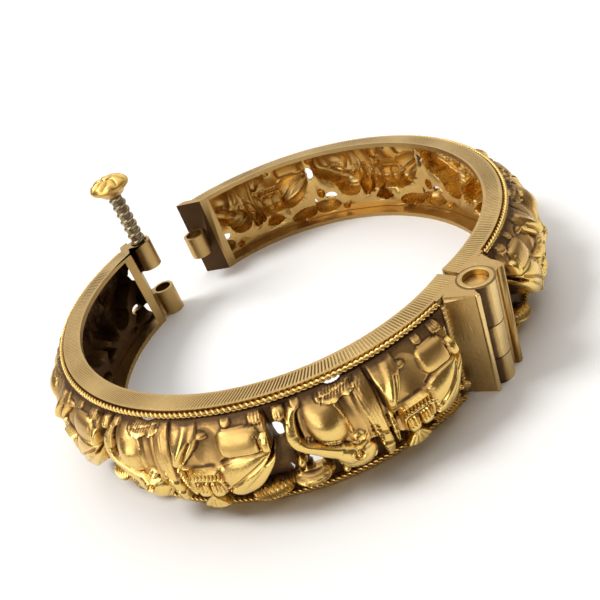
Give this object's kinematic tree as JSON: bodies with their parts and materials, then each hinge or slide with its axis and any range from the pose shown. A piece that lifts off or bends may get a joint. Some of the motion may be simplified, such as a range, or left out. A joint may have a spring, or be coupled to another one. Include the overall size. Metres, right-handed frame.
{
  "type": "hinged kada bangle",
  "caption": "Hinged gold kada bangle with pierced elephant relief between flat rails, rope edges, a barrel hinge and a raised screw clasp, lying slightly open.",
  "frame": {"origin": "middle of the open bangle's box, on the plane it rests on", "axes": "+Z along the wrist, up from the resting face; +X from the clasp towards the hinge; +Y from the front half towards the back half"},
  "size_m": [0.0734, 0.0798, 0.0287],
  "materials": {
    "gold_relief": "polished high spots over darkened recesses",
    "gold_rail": "satin, finely ribbed",
    "gold_rope": "polished",
    "gold_hinge": "satin",
    "gold_head": "polished",
    "screw_steel": "worn, brassy"
  },
  "bodies": {
    "front": {"front_frame": "gold_rail", "front_rope_top": "gold_rope", "front_rope_bottom": "gold_rope", "front_elephant_1": "gold_relief", "front_elephant_2": "gold_relief", "front_elephant_3": "gold_relief", "front_elephant_4": "gold_relief", "hinge_pin": "gold_hinge"},
    "back": {"back_frame": "gold_rail", "back_rope_top": "gold_rope", "back_rope_bottom": "gold_rope", "back_elephant_1": "gold_relief", "back_elephant_2": "gold_relief", "back_elephant_3": "gold_relief", "back_elephant_4": "gold_relief"},
    "screw": {"screw_shaft": "screw_steel", "screw_head": "gold_head"}
  },
  "joints": [
    {"name": "hinge_swing", "type": "hinge", "parent": "front", "child": "back", "pos_m": [0.03425, -0.00295, 0], "axis": [0, 0, -1], "range_deg": [-9.4, 60.6]},
    {"name": "screw_slide", "type": "slide", "parent": "front", "child": "screw", "axis": [0, 0, -1], "range_m": [0, 0.0097]}
  ]
}
